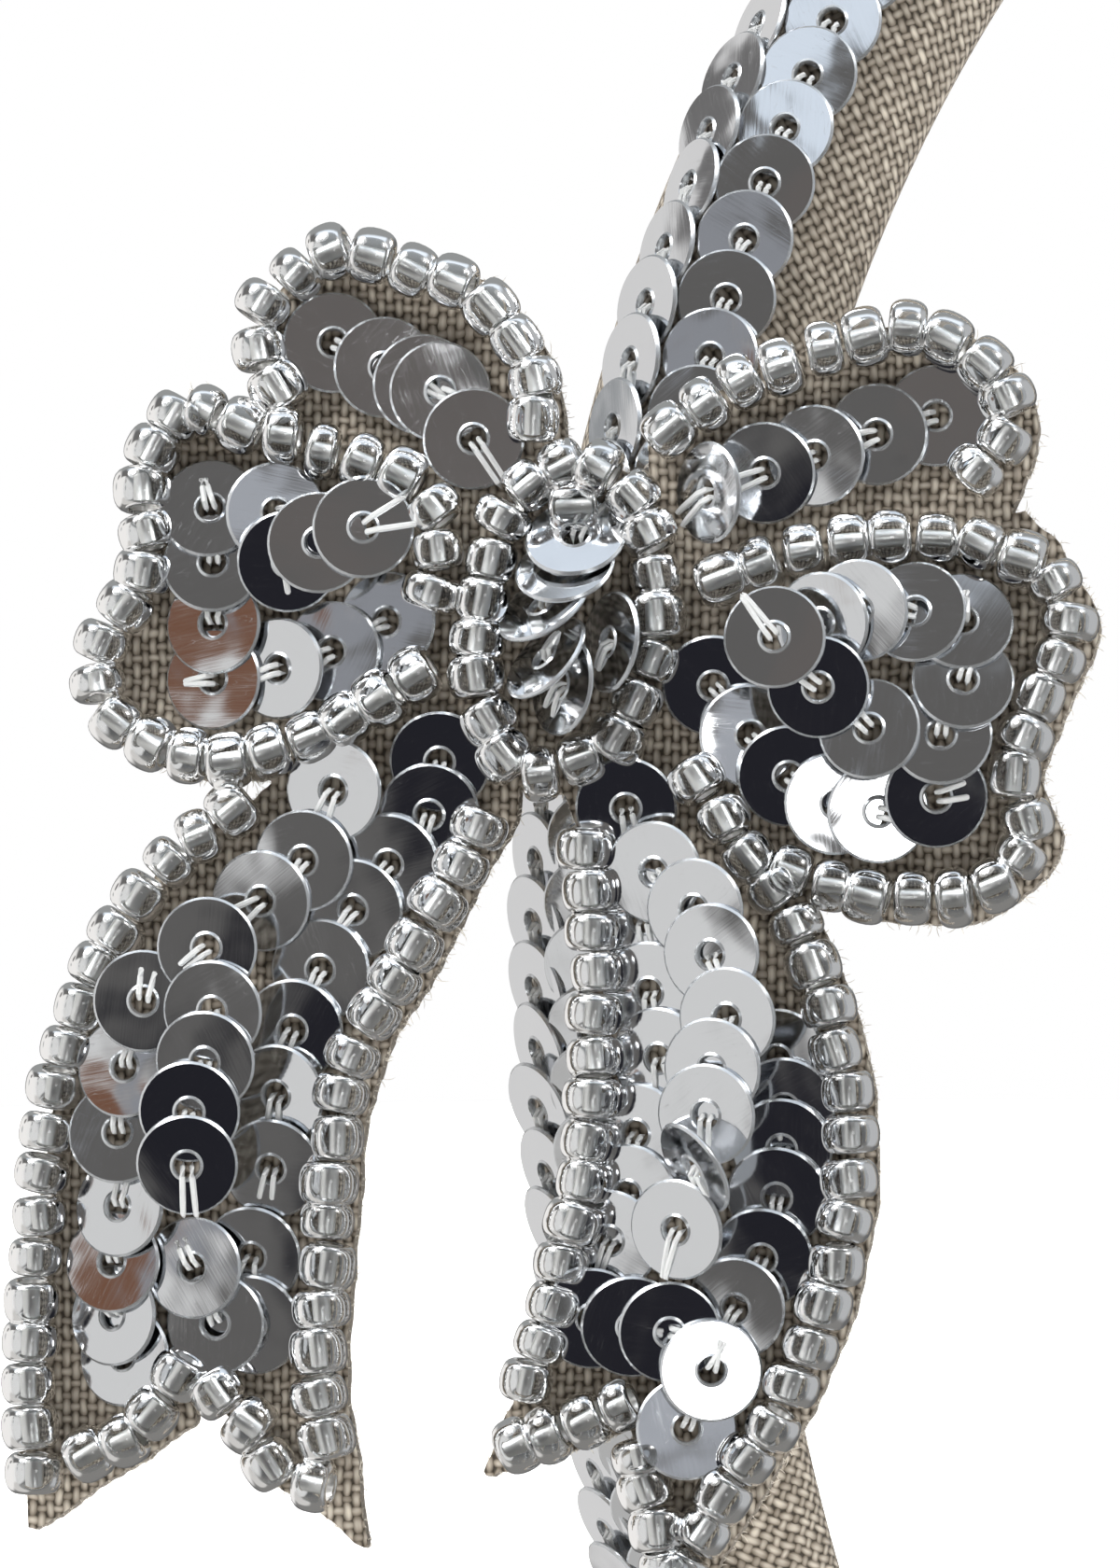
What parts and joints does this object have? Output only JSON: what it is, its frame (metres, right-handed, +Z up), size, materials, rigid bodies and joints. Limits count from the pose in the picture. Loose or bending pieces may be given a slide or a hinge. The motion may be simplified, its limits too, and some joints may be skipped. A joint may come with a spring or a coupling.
{
  "type": "sequin headband",
  "caption": "Padded linen headband with rows of lapped silver sequins and a sequinned bow edged in silver-lined glass beads.",
  "frame": {"origin": "on the floor, under the middle of the headband's bounding box", "axes": "+Z up to the crown, -Y the front of the band, -X the arm that carries the bow"},
  "size_m": [0.1498, 0.032, 0.1239],
  "materials": {
    "linen": "plain-weave natural linen, raw cut edges on the bow",
    "silver_sequin": "mirror-bright flat sequins with fine scratches",
    "silver_lined_glass": "clear glass seed beads with silvered bores"
  },
  "bodies": {
    "root": {"band": "linen", "band_sequins_front": "silver_sequin", "band_sequins_back": "silver_sequin", "bow_cloth": "linen", "knot_beads": "silver_lined_glass", "knot_sequins": "silver_sequin", "lower_left_loop_beads": "silver_lined_glass", "lower_left_loop_sequins": "silver_sequin", "lower_right_loop_beads": "silver_lined_glass", "lower_right_loop_sequins": "silver_sequin", "upper_left_loop_beads": "silver_lined_glass", "upper_left_loop_sequins": "silver_sequin", "upper_right_loop_beads": "silver_lined_glass", "upper_right_loop_sequins": "silver_sequin", "left_tail_beads": "silver_lined_glass", "left_tail_sequins": "silver_sequin", "right_tail_beads": "silver_lined_glass", "right_tail_sequins": "silver_sequin"}
  },
  "joints": []
}
